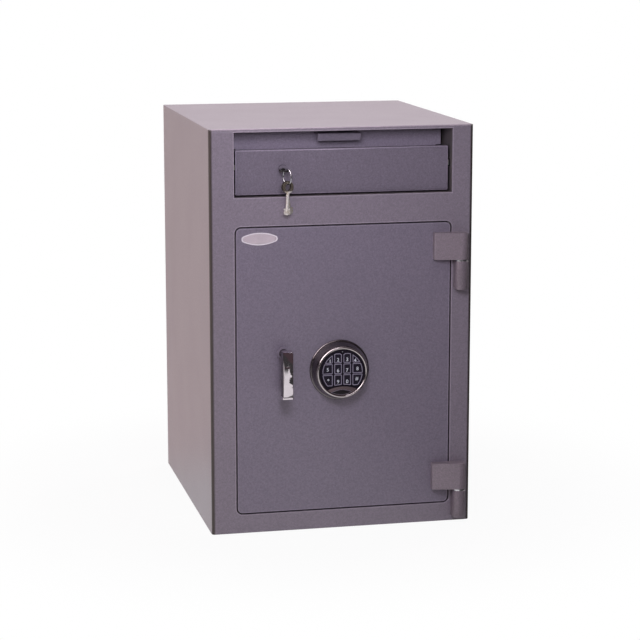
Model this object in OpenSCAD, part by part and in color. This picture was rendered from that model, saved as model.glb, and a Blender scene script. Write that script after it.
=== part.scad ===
// Drop safe with a hinged door, an electronic keypad lock and a deposit drawer.
// The origin is the centre of the underside, +Z is up and the front faces -Y.

/* [Case] */
// Width of the case
case_w = 500; // [480:5:560]
// Depth of the case
case_d = 550; // [520:5:640]
// Height of the case
case_h = 760; // [740:5:860]
// Thickness of the case sheets
wall_t = 4; // [3:0.5:5]
// Thickness of the floor plate
floor_t = 6; // [4:0.5:8]
// Outer radius of the folded front edges
fold_r = 6.5; // [5.5:0.5:8]
// Width of the left stile
stile_left = 46.5; // [44:0.5:56]
// Width of the right stile
stile_right = 40.2; // [38:0.2:50]
// Height of the rail under the door
bottom_rail_h = 35.5; // [34:0.5:45]
// Height of the rail between door and drawer
mid_rail_h = 53.5; // [50:0.5:70]
// Height of the lip above the drawer
top_lip_h = 6.6; // [6:0.2:9]
// Height of the drawer opening
drawer_open_h = 119.4; // [118:0.2:130]
// Distance between anchor holes, side to side
anchor_x = 340; // [300:5:380]
// Distance between anchor holes, front to back
anchor_y = 380; // [320:5:420]
// Diameter of the anchor holes
anchor_d = 14; // [10:0.5:18]

/* [Door] */
// Thickness of the door plate
door_t = 8; // [6:0.5:9]
// Gap around the door
door_gap = 3; // [2.5:0.25:4]
// Corner radius of the door
door_corner_r = 9; // [6:0.5:12]
// Depth of the bolt box behind the door plate
bolt_box_d = 55; // [52:1:60]
// Thickness of the jamb bars behind the door's edge
jamb_t = 14; // [10:0.5:15]
// Radius of the hinge knuckles
knuckle_r = 12; // [10:0.5:13]
// Radius of the hinge pins
hinge_pin_r = 6; // [4:0.25:7]
// Height of each hinge post on the case
post_h = 54; // [48:1:60]
// Height of each hinge leaf on the door
leaf_h = 50.5; // [46:0.5:60]
// Thickness of the hinge washers
washer_t = 2.7; // [1.5:0.1:4]

/* [Bolt work] */
// Radius of the live bolts
bolt_r = 10; // [8:0.5:11]
// Travel of the live bolts
bolt_throw = 18; // [14:0.5:18]
// Spindle position from the door's centre line, to the left
spindle_offset = 116.6; // [114:0.2:120]
// Height of the spindle above the floor
spindle_z = 342; // [334:1:350]
// Length of the lever
lever_len = 88.5; // [80:0.5:100]
// Reach of the lever in front of the door
lever_reach = 50; // [46:1:60]

/* [Keypad] */
// Radius of the keypad's bright ring
keypad_r = 48.5; // [47:0.5:52]
// Height of the keypad above the door
keypad_reach = 29; // [24:0.5:34]
// Height of the keypad's centre above the floor
keypad_z = 306; // [300:1:312]
// Travel of each key
key_travel = 0.8; // [0.4:0.1:1]

/* [Drawer] */
// Height of the drawer's front panel
drawer_front_h = 82.5; // [82:0.5:86]
// Distance of the panel behind the case front
drawer_recess = 14; // [10:0.5:16]
// Distance of the riser behind the case front
riser_recess = 64; // [62:0.5:72]
// Gap between the drawer and the sides of its opening
drawer_gap = 5; // [4:0.25:6]
// Travel of the drawer
drawer_travel = 210; // [180:5:215]
// Length of the tray behind the riser
tray_len = 220; // [215:5:235]
// Slope of the tipping floor when the drawer is shut, in degrees
tip_angle = 28; // [24:0.5:28]
// Radius of the tipping floor's rollers
roller_r = 7; // [5:0.5:7.5]
// Width of the finger pull
pull_w = 82; // [60:2:110]
// Travel of the drawer lock's bolt
drawer_bolt_throw = 12; // [10:0.5:12]

/* [Hidden] */
$fn = 64;

// Clearances
run_gap = 0.05;
seat_gap = 0.3;

// Case places
front_y = -case_d / 2;
back_y = case_d / 2;
side_x = case_w / 2;
back_edge_r = 1.5;
open_x0 = -side_x + stile_left;
open_x1 = side_x - stile_right;
open_w = open_x1 - open_x0;
drawer_open_z1 = case_h - top_lip_h;
drawer_open_z0 = drawer_open_z1 - drawer_open_h;
door_open_z1 = drawer_open_z0 - mid_rail_h;
door_open_z0 = bottom_rail_h;
sheet_back_y = front_y + wall_t;

// Door places
door_x0 = open_x0 + door_gap;
door_x1 = open_x1 - door_gap;
door_z0 = door_open_z0 + door_gap;
door_z1 = door_open_z1 - door_gap;
door_mid_x = (door_x0 + door_x1) / 2;
door_back_y = front_y + door_t;
open_corner_r = door_corner_r + door_gap;

// Jamb places
jamb_w = 24;
jamb_lip = 8;
rebate_y = door_back_y + seat_gap;
jamb_back_y = rebate_y + jamb_t;

// Hinge places
hinge_x = open_x1 + 15.7;
hinge_y = front_y - knuckle_r - seat_gap;
lower_hinge_z = 9;
upper_hinge_drop = 125.5;
hinge_feet = [lower_hinge_z, door_z1 - upper_hinge_drop];
leaf_reach = 52;
leaf_edge_t = 13;
leaf_cap_t = 4;
post_round = 2.5;
pin_seat = 12;

// Bolt box places
box_t = 2.5;
box_inset = 17;
box_x0 = door_x0 + box_inset;
box_x1 = door_x1 - box_inset;
box_z0 = door_z0 + 18;
box_z1 = door_z1 - 18;
box_back_y = door_back_y + bolt_box_d;
box_lip = 14;
cover_t = 2;
screw_inset = 7;
screw_r = 2;

// Bolt work places
spindle_x = door_mid_x - spindle_offset;
spindle_r = 6;
bolt_y = jamb_back_y + 1 + bolt_r;
bolt_tip_x = box_x0 - 6;
bolt_zs = [door_z0 + 71.5, (door_z0 + door_z1) / 2, door_z1 - 71.5];
bush_t = 5;
bush_wall = 4;
flat_depth = 2;
carriage_y0 = bolt_y + flat_depth;
carriage_t = 5;
carriage_y1 = carriage_y0 + carriage_t;
carriage_x0 = box_x0 + box_t + bush_t + bolt_throw + 1;
carriage_w = 38;
carriage_x1 = carriage_x0 + carriage_w;
bolt_tail_x = carriage_x0 + 20;
crank_r = bolt_throw / sqrt(2);
crank_pin_r = 3.5;
crank_slack = 0.5;
cam_r = crank_r + 6.3;
cam_t = 5;
cam_gap = 1.3;
cam_y1 = carriage_y0 - cam_gap;
ear_drop = 14;
ear_rise = 9;
post_r = 4;
post_slack = 0.3;
guide_x = carriage_x0 + 4 + post_r;
guide_zs = [bolt_zs[0] + 55, bolt_zs[2] - 55];

// Lever places
grip_w = 18.6;
grip_d = 26;
grip_edge_r = 3;
grip_rise = 10;
grip_bow_r = 280;
lip_out = 0.8;
lip_h = 4.5;
lip_edge_r = 1.5;
hub_r = 9;
hub_foot_r = 12;
socket_depth = 14;

// Electronic lock places
keypad_x = door_mid_x - 9.4;
lock_w = 82;
lock_h = 60;
lock_d = 30;
lock_x0 = keypad_x - 43;
lock_y1 = door_back_y + lock_d;
bolt_bar_h = 20;
bolt_bar_t = 8.5;
bolt_bar_y = door_back_y + 15;
lock_bolt_tip = 1;
lock_throw = bolt_throw - 1;
lock_bolt_len = lock_throw + 11;
lug_gap = lock_bolt_tip + 1;
lug_w = 12;
lug_x1 = lock_x0 - lug_gap;

// Keypad places
field_r = keypad_r - 5.2;
field_sink = 2.2;
ring_h = 7;
base_r = keypad_r + 8.5;
base_t = 4;
base_round = 3;
key_proud = 1.4;
key_circle_r = field_r - 4.7;
key_gap_x = 2.7;
key_gap_z = 1;
key_wall = 0.3;
key_edge_r = 2;
inner_col = 17.4;
row_lines = [37, 17.3, -3.1, -26];
lamp_rise = 39;
lamp_r = 0.9;
lamp_clear_r = 5;
eye_top = -26.5;
eye_r = 68;
eye_gap = 3;
eye_proud = 2;
oval_mid = [-2, -37.4];
ring_top_y = front_y - keypad_reach;
field_y = ring_top_y + field_sink;

// Drawer places
panel_t = 3;
panel_y = front_y + drawer_recess;
panel_back_y = panel_y + panel_t;
drawer_x0 = open_x0 + drawer_gap;
drawer_x1 = open_x1 - drawer_gap;
drawer_z0 = drawer_open_z0 + 3;
drawer_z1 = drawer_z0 + drawer_front_h;
flange_d = 18;
ledge_drop = 6.5;
ledge_t = 2.5;
ledge_z = drawer_z1 - ledge_drop;
riser_y = front_y + riser_recess;
riser_t = 3;
riser_back_y = riser_y + riser_t;
riser_top_z = drawer_open_z1 - 2.4;
tray_t = 2;
tray_side_gap = 13;
tray_x0 = open_x0 + tray_side_gap;
tray_x1 = open_x1 - tray_side_gap;
tray_back_y = riser_back_y + tray_len;
tray_top_z = riser_top_z - 6;
pivot_y = riser_back_y + 6;
pivot_z = drawer_z0 + 22;
tray_z0 = pivot_z + 6;
pull_recess = 30;
pull_drop = 7.4;
pull_h = 14.4;
pull_t = 2.5;

// Runner places
runner_z = drawer_z0 + 51;
channel_w = 10;
channel_t = 2;
channel_h = 14;
channel_y0 = panel_back_y + 1;
channel_y1 = tray_back_y + 8;

// Tipping floor places
floor_len = tray_len - 16;
roller_len = floor_len - 4;
plate_low = 1.7;
plate_t = 3;
floor_pin_r = 3;
knuckle_out_r = 5;
roller_w = 7;
ramp_t = 4;
ramp_steps = 24;
housing_t = 3;
housing_back_y = tray_back_y + 23;
housing_low_z = pivot_z - roller_len * sin(tip_angle) - roller_r - 18;
shelf_t = 3;
shelf_y1 = riser_y - 2;
baffle_low_z = drawer_open_z0 - 22;
tooth_pitch = 20;
tooth_h = 14;

// Drawer lock places
key_x = open_x0 + 93.5;
key_z = drawer_z0 + 46;
plug_r = 8;
plug_y0 = panel_y - 1;
plug_y1 = panel_y + 35;
disc_t = 3.5;
disc_r = 13;
lock_crank_r = drawer_bolt_throw / sqrt(2);
lock_pin_r = 2;
lock_pin_slack = 0.4;
case_y1 = riser_y - 4;
case_t = 2;
lock_half_w = 26;
lock_drop = 33;
drawer_bolt_w = 20;
drawer_bolt_x = key_x + 4;
drawer_bolt_t = 3.3;
drawer_bolt_y1 = case_y1 - case_t - 1;
drawer_bolt_y0 = drawer_bolt_y1 - drawer_bolt_t;
drawer_bolt_z0 = drawer_z0 + 3.5;
disc_y1 = drawer_bolt_y0 - 1.2;

// Key places
bow_r = 11;
bow_hole_r = 6.8;
key_t = 2.4;
key_shank_r = 2.5;
shank_len = 40;
bow_y = panel_y - 19;
rim_reach = (bow_r + bow_hole_r) / 2;
ring_turn = 70;
ring_mean_r = 14;
ring_wire_r = 1;
ring_hang = 10.8;
ring_dir = [cos(ring_turn), -sin(ring_turn), 0];
rim_pos = [key_x, bow_y, key_z] + rim_reach * ring_dir;
ring_pos = rim_pos - [0, 0, ring_hang];
wire_pos = ring_pos - [0, 0, ring_mean_r];
spare_side = 3.2;
spare_slack = 0.6;
spare_leans = [-4, 8];

// Helpers

module block(x0, x1, y0, y1, z0, z1) {
    translate([x0, y0, z0]) cube([x1 - x0, y1 - y0, z1 - z0]);
}

// A front-view outline (x, z) given thickness from y0 to y1
module front_slab(y0, y1) {
    translate([0, y1, 0]) rotate([90, 0, 0]) linear_extrude(y1 - y0) children();
}

// A side-view outline (y, z) given width from x0 to x1
module side_slab(x0, x1) {
    translate([x0, 0, 0]) rotate([90, 0, 90]) linear_extrude(x1 - x0) children();
}

module plan_slab(z0, z1) {
    translate([0, 0, z0]) linear_extrude(z1 - z0) children();
}

module rod_x(x0, x1, y, z, r) {
    translate([x0, y, z]) rotate([0, 90, 0]) cylinder(r = r, h = x1 - x0);
}

module rod_y(x, z, y0, y1, r) {
    translate([x, y1, z]) rotate([90, 0, 0]) cylinder(r = r, h = y1 - y0);
}

module rect(x0, x1, z0, z1) {
    translate([x0, z0]) square([x1 - x0, z1 - z0]);
}

module rounded_rect(x0, x1, z0, z1, r) {
    rect(x0 + r, x1 - r, z0, z1);
    rect(x0, x1, z0 + r, z1 - r);
    for (x = [x0 + r, x1 - r], z = [z0 + r, z1 - r])
        translate([x, z]) circle(r = r);
}

module slot(x0, x1, z, r) {
    rect(x0, x1, z - r, z + r);
    for (x = [x0, x1]) translate([x, z]) circle(r = r);
}

// Oval of four arcs that meet smoothly
module oval(half_w, half_h, end_r) {
    side_r = (pow(half_w - end_r, 2) + pow(half_h, 2) - pow(end_r, 2)) / (2 * (half_h - end_r));
    meet_x = side_r * (half_w - end_r) / (side_r - end_r);
    intersection() {
        lens(side_r, side_r - half_h);
        rect(-meet_x, meet_x, -half_h, half_h);
    }
    for (s = [-1, 1]) translate([s * (half_w - end_r), 0]) circle(r = end_r);
}

// Lens where two equal circles overlap
module lens(r, shift) {
    intersection() {
        translate([0, shift]) circle(r = r, $fn = 160);
        translate([0, -shift]) circle(r = r, $fn = 160);
    }
}

// Case

module case_form() {
    intersection() {
        plan_slab(0, case_h) union() {
            rect(-side_x, side_x, front_y + fold_r, back_y);
            rect(-side_x + fold_r, side_x - fold_r, front_y, back_y);
            for (s = [-1, 1]) translate([s * (side_x - fold_r), front_y + fold_r]) circle(r = fold_r);
        }
        side_slab(-side_x, side_x) union() {
            rect(front_y, back_y, 0, case_h - fold_r);
            rect(front_y + fold_r, back_y, 0, case_h);
            translate([front_y + fold_r, case_h - fold_r]) circle(r = fold_r);
        }
        front_slab(front_y, back_y) union() {
            rect(-side_x, side_x, 0, case_h - back_edge_r);
            rect(-side_x + back_edge_r, side_x - back_edge_r, 0, case_h);
            for (s = [-1, 1]) translate([s * (side_x - back_edge_r), case_h - back_edge_r])
                circle(r = back_edge_r);
        }
    }
}

module left_wall() {
    color("#8a8290") intersection() {
        case_form();
        union() {
            block(-side_x, -side_x + wall_t, sheet_back_y, back_y, 0, case_h - wall_t);
            block(-side_x, open_x0, front_y, sheet_back_y, 0, drawer_open_z1);
        }
    }
}

module right_wall() {
    color("#7b7482") intersection() {
        case_form();
        union() {
            block(side_x - wall_t, side_x, sheet_back_y, back_y, 0, case_h - wall_t);
            block(open_x1, side_x, front_y, sheet_back_y, 0, drawer_open_z1);
        }
    }
}

module top_sheet() {
    color("#9b94a0") intersection() {
        case_form();
        union() {
            block(-side_x, side_x, front_y, back_y, case_h - wall_t, case_h);
            block(-side_x, side_x, front_y, sheet_back_y, drawer_open_z1, case_h);
        }
    }
}

module back_plate() {
    color("#77707e")
        block(-side_x + wall_t, side_x - wall_t, back_y - wall_t, back_y, floor_t, case_h - wall_t);
}

module floor_plate() {
    color("#6b6571") difference() {
        block(-side_x + wall_t, side_x - wall_t, sheet_back_y, back_y, 0, floor_t);
        for (x = [-anchor_x / 2, anchor_x / 2], y = [-anchor_y / 2, anchor_y / 2])
            translate([x, y, -1]) cylinder(r = anchor_d / 2, h = floor_t + 2);
    }
}

module front_rails() {
    color("#787180") front_slab(front_y, sheet_back_y) difference() {
        union() {
            rect(open_x0, open_x1, 0, door_open_z0 + open_corner_r);
            rect(open_x0, open_x1, door_open_z1 - open_corner_r, drawer_open_z0);
        }
        rounded_rect(open_x0, open_x1, door_open_z0, door_open_z1, open_corner_r);
    }
}

// Rebated frame: the door's edge closes against its inner lip
module door_jamb() {
    color("#5e5864") difference() {
        block(open_x0 - jamb_w, open_x1 + jamb_w, sheet_back_y, jamb_back_y,
              door_open_z0 - jamb_w, door_open_z1 + jamb_w);
        front_slab(sheet_back_y - 1, rebate_y)
            rounded_rect(open_x0, open_x1, door_open_z0, door_open_z1, open_corner_r);
        block(open_x0 + jamb_lip, open_x1 - jamb_lip, sheet_back_y - 1, jamb_back_y + 1,
              door_open_z0 + jamb_lip, door_open_z1 - jamb_lip);
    }
}

// Hinges

module hinge_posts() {
    x0 = hinge_x - knuckle_r;
    x1 = hinge_x + knuckle_r;
    color("#6f6976") for (z = hinge_feet) difference() {
        intersection() {
            plan_slab(z, z + post_h) union() {
                translate([hinge_x, hinge_y]) circle(r = knuckle_r);
                rect(x0, x1, hinge_y, front_y);
            }
            front_slab(hinge_y - knuckle_r, front_y) union() {
                rect(x0 + post_round, x1 - post_round, z, z + post_h);
                rect(x0, x1, z + post_round, z + post_h);
                for (x = [x0 + post_round, x1 - post_round])
                    translate([x, z + post_round]) circle(r = post_round);
            }
        }
        translate([hinge_x, hinge_y, z + pin_seat]) cylinder(r = hinge_pin_r + run_gap, h = post_h);
    }
}

module hinge_pins() {
    color("silver") for (z = hinge_feet)
        translate([hinge_x, hinge_y, z + pin_seat])
            cylinder(r = hinge_pin_r, h = post_h + washer_t + seat_gap + leaf_h - leaf_cap_t - 1 - pin_seat);
}

module hinge_washers() {
    color("gainsboro") for (z = hinge_feet)
        translate([hinge_x, hinge_y, z + post_h]) difference() {
            cylinder(r = knuckle_r - 0.5, h = washer_t);
            translate([0, 0, -1]) cylinder(r = hinge_pin_r + run_gap, h = washer_t + 2);
        }
}

// The leaf lies on the door plate and runs out to the front of its knuckle
module leaf_outline() {
    leaf_x = hinge_x - leaf_reach;
    edge = [leaf_x, front_y - leaf_edge_t];
    away = [edge[0] - hinge_x, edge[1] - hinge_y];
    touch = atan2(away[1], away[0]) + acos(knuckle_r / norm(away));
    polygon([
        [leaf_x, front_y],
        [leaf_x, front_y - leaf_edge_t + 1.5],
        [leaf_x + 1.5, front_y - leaf_edge_t],
        [hinge_x + knuckle_r * cos(touch), hinge_y + knuckle_r * sin(touch)],
        [hinge_x, hinge_y],
        [hinge_x, front_y - seat_gap],
        [door_x1, front_y - seat_gap],
        [door_x1, front_y]
    ]);
    translate([hinge_x, hinge_y]) circle(r = knuckle_r);
}

module hinge_leaves() {
    color("#6f6976") for (z = hinge_feet) {
        leaf_z = z + post_h + washer_t + seat_gap;
        difference() {
            plan_slab(leaf_z, leaf_z + leaf_h) leaf_outline();
            translate([hinge_x, hinge_y, leaf_z - 1])
                cylinder(r = hinge_pin_r + run_gap, h = leaf_h - leaf_cap_t + 1);
        }
    }
}

// Door shell

module door_plate() {
    color("#6a6371") difference() {
        front_slab(front_y, door_back_y) rounded_rect(door_x0, door_x1, door_z0, door_z1, door_corner_r);
        rod_y(spindle_x, spindle_z, front_y - 1, door_back_y + 1, spindle_r + run_gap);
    }
}

module bolt_box() {
    color("#565160") difference() {
        block(box_x0, box_x1, door_back_y, box_back_y, box_z0, box_z1);
        block(box_x0 + box_t, box_x1 - box_t, door_back_y - 1, box_back_y - box_t,
              box_z0 + box_t, box_z1 - box_t);
        block(box_x0 + box_lip, box_x1 - box_lip, door_back_y, box_back_y + 1,
              box_z0 + box_lip, box_z1 - box_lip);
        for (z = bolt_zs) rod_x(box_x0 - 1, box_x0 + box_t + 1, bolt_y, z, bolt_r + seat_gap);
        cover_screw_places() rod_y(0, 0, box_back_y - box_t - 1, box_back_y + 1, screw_r);
    }
}

module cover_screw_places() {
    for (x = [box_x0 + screw_inset, box_x1 - screw_inset],
         z = [box_z0 + screw_inset, (box_z0 + box_z1) / 2, box_z1 - screw_inset])
        translate([x, 0, z]) children();
}

module door_back_cover() {
    color("#5b5663") difference() {
        block(box_x0, box_x1, box_back_y, box_back_y + cover_t, box_z0, box_z1);
        cover_screw_places() rod_y(0, 0, box_back_y - 1, box_back_y + cover_t + 1, screw_r);
    }
}

module cover_screws() {
    color("silver") cover_screw_places() {
        rod_y(0, 0, box_back_y - box_t, box_back_y + cover_t, screw_r);
        rod_y(0, 0, box_back_y + cover_t, box_back_y + cover_t + 2.2, screw_r * 2);
    }
}

// Fixed bolts on the hinge side hook behind the jamb
module dog_bolts() {
    dog_r = 9;
    dog_y = jamb_back_y + 8 + dog_r;
    dog_x1 = open_x1 - jamb_lip + 10;
    color("silver") for (z = guide_zs) {
        rod_x(box_x1, dog_x1 - 2, dog_y, z, dog_r);
        translate([dog_x1 - 2, dog_y, z]) rotate([0, 90, 0]) cylinder(r1 = dog_r, r2 = dog_r - 2, h = 2);
    }
}

// Bolt work

module bolt_bushes() {
    color("#b08d57") for (z = bolt_zs) difference() {
        rod_x(box_x0 + box_t, box_x0 + box_t + bush_t, bolt_y, z, bolt_r + bush_wall);
        rod_x(box_x0, box_x0 + box_t + bush_t + 1, bolt_y, z, bolt_r + run_gap);
    }
}

module locking_bolts() {
    color("silver") for (z = bolt_zs) difference() {
        union() {
            rod_x(bolt_tip_x + 2, bolt_tail_x, bolt_y, z, bolt_r);
            translate([bolt_tip_x, bolt_y, z]) rotate([0, 90, 0])
                cylinder(r1 = bolt_r - 2, r2 = bolt_r, h = 2);
        }
        block(carriage_x0, bolt_tail_x + 1, carriage_y0, bolt_y + bolt_r + 1,
              z - bolt_r - 1, z + bolt_r + 1);
    }
}

module guide_posts() {
    color("silver") for (z = guide_zs) {
        rod_y(guide_x, z, door_back_y, carriage_y0 - seat_gap, post_r + 2);
        rod_y(guide_x, z, carriage_y0 - seat_gap, carriage_y1 + seat_gap, post_r);
        rod_y(guide_x, z, carriage_y1 + seat_gap, carriage_y1 + seat_gap + 2.5, post_r + 3);
    }
}

// Sliding plate that carries the bolts; the crank pin works in its upright slot
module bolt_carriage() {
    ear_z0 = keypad_z - ear_drop;
    ear_z1 = spindle_z + ear_rise;
    slot_x = spindle_x + crank_r * sin(45);
    slot_r = crank_pin_r + crank_slack;
    color("#8f8a94") {
        front_slab(carriage_y0, carriage_y1) difference() {
            union() {
                rect(carriage_x0, carriage_x1, bolt_zs[0] - 16, bolt_zs[2] + 16);
                rect(carriage_x1 - 1, lug_x1, ear_z0, ear_z1);
            }
            for (z = guide_zs) slot(guide_x, guide_x + bolt_throw, z, post_r + post_slack);
            translate([slot_x, 0]) union() {
                rect(-slot_r, slot_r, spindle_z - crank_r, spindle_z - crank_r * cos(45));
                for (z = [spindle_z - crank_r, spindle_z - crank_r * cos(45)])
                    translate([0, z]) circle(r = slot_r);
            }
        }
        block(lug_x1 - lug_w, lug_x1, bolt_bar_y - bolt_bar_t / 2, carriage_y0,
              keypad_z - bolt_bar_h / 2, keypad_z + bolt_bar_h / 2);
    }
}

module handle_spindle() {
    pin_x = spindle_x + crank_r * sin(45);
    pin_z = spindle_z - crank_r * cos(45);
    color("#a8a6ad") {
        rod_y(spindle_x, spindle_z, front_y - lever_reach + socket_depth, cam_y1 - cam_t, spindle_r);
        rod_y(spindle_x, spindle_z, cam_y1 - cam_t, cam_y1, cam_r);
        rod_y(pin_x, pin_z, cam_y1, carriage_y1 + 1, crank_pin_r);
    }
}

// Bowed block that hangs from its hub, with a lip round its foot
module lever_handle() {
    face_y = front_y - lever_reach;
    grip_y1 = face_y + grip_d;
    x0 = spindle_x - grip_w / 2;
    x1 = spindle_x + grip_w / 2;
    z1 = spindle_z + grip_rise;
    z0 = z1 - lever_len;
    bow_mid = [face_y + grip_bow_r, (z0 + z1) / 2];
    foot_y = bow_mid[0] - sqrt(pow(grip_bow_r, 2) - pow(lever_len / 2, 2));
    color("#d8d8dc") difference() {
        union() {
            intersection() {
                plan_slab(z0, z1) rounded_rect(x0, x1, face_y, grip_y1, grip_edge_r);
                side_slab(x0, x1) intersection() {
                    translate(bow_mid) circle(r = grip_bow_r, $fn = 240);
                    rounded_rect(face_y - 1, grip_y1, z0, z1, grip_edge_r);
                }
            }
            plan_slab(z0, z0 + lip_h)
                rounded_rect(x0 - lip_out, x1 + lip_out, foot_y - lip_out, grip_y1 + lip_out, lip_edge_r);
            rod_y(spindle_x, spindle_z, grip_y1 - 1, front_y - seat_gap, hub_r);
            rod_y(spindle_x, spindle_z, front_y - 6, front_y - seat_gap, hub_foot_r);
        }
        rod_y(spindle_x, spindle_z, face_y + socket_depth, front_y + 1, spindle_r);
    }
}

// Electronic lock

module lock_case() {
    color("#9c978c") difference() {
        block(lock_x0, lock_x0 + lock_w, door_back_y, lock_y1, keypad_z - lock_h / 2, keypad_z + lock_h / 2);
        block(lock_x0 - 1, lock_x0 + lock_bolt_len + 2, bolt_bar_y - bolt_bar_t / 2 - seat_gap,
              bolt_bar_y + bolt_bar_t / 2 + seat_gap,
              keypad_z - bolt_bar_h / 2 - seat_gap, keypad_z + bolt_bar_h / 2 + seat_gap);
    }
}

module lock_bolt() {
    color("#c9a24a")
        block(lock_x0 - lock_bolt_tip, lock_x0 + lock_bolt_len, bolt_bar_y - bolt_bar_t / 2,
              bolt_bar_y + bolt_bar_t / 2, keypad_z - bolt_bar_h / 2, keypad_z + bolt_bar_h / 2);
}

// Keypad

module turned(x, z, y) {
    translate([x, y, z]) rotate([90, 0, 0]) rotate_extrude($fn = 128) children();
}

// Dished body on a round foot that lies on the door
module keypad_housing() {
    depth = keypad_reach - ring_h;
    foot_edge = [for (a = [0 : 15 : 90])
        [base_r - base_round * (1 - cos(a)), base_t - base_round * (1 - sin(a))]];
    color("#4a4750") turned(keypad_x, keypad_z, front_y) polygon(concat(
        [[0, 0], [base_r, 0]], foot_edge,
        [[keypad_r + 5.5, base_t], [keypad_r + 5, base_t + 4], [keypad_r + 0.8, depth], [0, depth]]
    ));
}

module keypad_ring() {
    inner = field_r + 0.1;
    low = keypad_reach - ring_h;
    crown = (keypad_r - inner) / 2;
    color("#d5d5da") turned(keypad_x, keypad_z, front_y) difference() {
        union() {
            polygon([[inner, low], [keypad_r, low], [keypad_r, keypad_reach - crown],
                     [inner, keypad_reach - crown]]);
            translate([inner + crown, keypad_reach - crown]) circle(r = crown);
        }
        polygon([[0, low - ring_h], [keypad_r + 1, low - ring_h], [keypad_r + 1, low], [0, low]]);
    }
}

function key_col_x(c) = c == 0 ? [-key_circle_r - 1, -inner_col - key_gap_x / 2]
    : c == 1 ? [-inner_col + key_gap_x / 2, -key_gap_x / 2]
    : c == 2 ? [key_gap_x / 2, inner_col - key_gap_x / 2]
    : [inner_col + key_gap_x / 2, key_circle_r + 1];

// Outline of the key in column c and row r, grown by g all round
module key_outline(c, r, g) {
    cols = key_col_x(c);
    translate([keypad_x, keypad_z]) difference() {
        intersection() {
            rounded_rect(cols[0] - g, cols[1] + g,
                         row_lines[r + 1] + key_gap_z / 2 - g, row_lines[r] - key_gap_z / 2 + g, key_edge_r);
            circle(r = key_circle_r + g);
        }
        eye_circle(eye_gap - g);
        translate([0, lamp_rise]) circle(r = lamp_clear_r - g);
    }
}

// The keys keep clear of this circle, whose top edge is the rim of the boss
module eye_circle(g) {
    translate([0, eye_top - eye_r]) circle(r = eye_r + g, $fn = 160);
}

module key_field() {
    color("#26252b") {
        difference() {
            rod_y(keypad_x, keypad_z, field_y, front_y - keypad_reach + ring_h, field_r);
            for (c = [0 : 3], r = [0 : 2])
                front_slab(field_y - 1, field_y + key_travel + 1.2) key_outline(c, r, key_wall);
        }
        rod_y(keypad_x, keypad_z + lamp_rise, field_y - 0.4, field_y + 1, lamp_r);
    }
}

module pad_key(i) {
    color("#33323a") front_slab(field_y - key_proud, field_y + 1)
        key_outline(i % 4, floor(i / 4), 0);
}

// Raised segment inside the ring's lower edge, with a blank oval sunk in it
module oval_boss() {
    half_w = 20;
    half_h = 5;
    lens_r = (pow(half_w, 2) + pow(half_h, 2)) / (2 * half_h);
    color("#c8c8ce") translate([keypad_x, 0, keypad_z]) difference() {
        front_slab(field_y - eye_proud, field_y) intersection() {
            circle(r = field_r);
            eye_circle(0);
        }
        front_slab(field_y - eye_proud - 1, field_y - eye_proud + 0.8)
            translate(oval_mid) lens(lens_r, lens_r - half_h);
    }
}

// Blank oval plate with a raised rim in the door's upper left corner
module door_oval() {
    half_w = 34;
    half_h = 11.8;
    end_r = 6;
    rim_w = 2;
    color("#d9c9c9") translate([door_x0 + 43.7, front_y, door_z1 - 20]) difference() {
        front_slab(-1.5, 0) oval(half_w, half_h, end_r);
        front_slab(-2.5, -1) oval(half_w - rim_w, half_h - rim_w, end_r - rim_w);
    }
}

// Drawer housing

module housing_sides() {
    color("#5a5561") for (x = [open_x0 - housing_t, open_x1]) side_slab(x, x + housing_t) polygon([
        [sheet_back_y, drawer_open_z0 - shelf_t], [sheet_back_y, case_h - wall_t],
        [housing_back_y, case_h - wall_t], [housing_back_y, housing_low_z],
        [pivot_y + roller_len * cos(tip_angle) + 12, housing_low_z],
        [shelf_y1 - 2, drawer_open_z0 - shelf_t]
    ]);
}

module housing_shelf() {
    color("#5a5561") difference() {
        block(open_x0, open_x1, sheet_back_y, shelf_y1, drawer_open_z0 - shelf_t, drawer_open_z0);
        block(drawer_bolt_x - drawer_bolt_w / 2 - 0.8, drawer_bolt_x + drawer_bolt_w / 2 + 0.8,
              drawer_bolt_y0 - 0.6, drawer_bolt_y1 + 0.6,
              drawer_open_z0 - shelf_t - 1, drawer_open_z0 + 1);
    }
}

module runner_channels() {
    z0 = runner_z - channel_h / 2;
    z1 = runner_z + channel_h / 2;
    color("silver") for (s = [-1, 1]) {
        wall = s < 0 ? open_x0 : open_x1;
        near = wall - s * channel_w;
        difference() {
            block(min(wall, near), max(wall, near), channel_y0, channel_y1, z0, z1);
            block(min(wall - s * channel_t, near - s), max(wall - s * channel_t, near - s),
                  channel_y0 - 1, channel_y1 + 1, z0 + channel_t, z1 - channel_t);
        }
    }
}

// Where the roller's centre is when the drawer is out by s
function roller_path(s) = let (a = tip_angle * (1 - s / drawer_travel))
    [pivot_y - s + roller_len * cos(a), pivot_z - roller_len * sin(a)];

function path_normal(s) = let (
        p = roller_path(s - 0.5), q = roller_path(s + 0.5), d = (q - p) / norm(q - p))
    [d[1], -d[0]];

// The normal that points down, away from the roller
function ramp_line(off) = [for (i = [0 : ramp_steps])
    let (s = drawer_travel * i / ramp_steps, n = path_normal(s))
    roller_path(s) + off * (n[1] < 0 ? n : -n)];

function reversed(v) = [for (i = [len(v) - 1 : -1 : 0]) v[i]];

// Curved ramps that carry the rollers, so that the floor lies level with the drawer out
module tipping_ramps() {
    color("#a8a6ad") for (x = [open_x0, open_x1 - tray_side_gap + 2])
        side_slab(x, x + tray_side_gap - 2)
            polygon(concat(ramp_line(roller_r + seat_gap), reversed(ramp_line(roller_r + seat_gap + ramp_t))));
}

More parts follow.
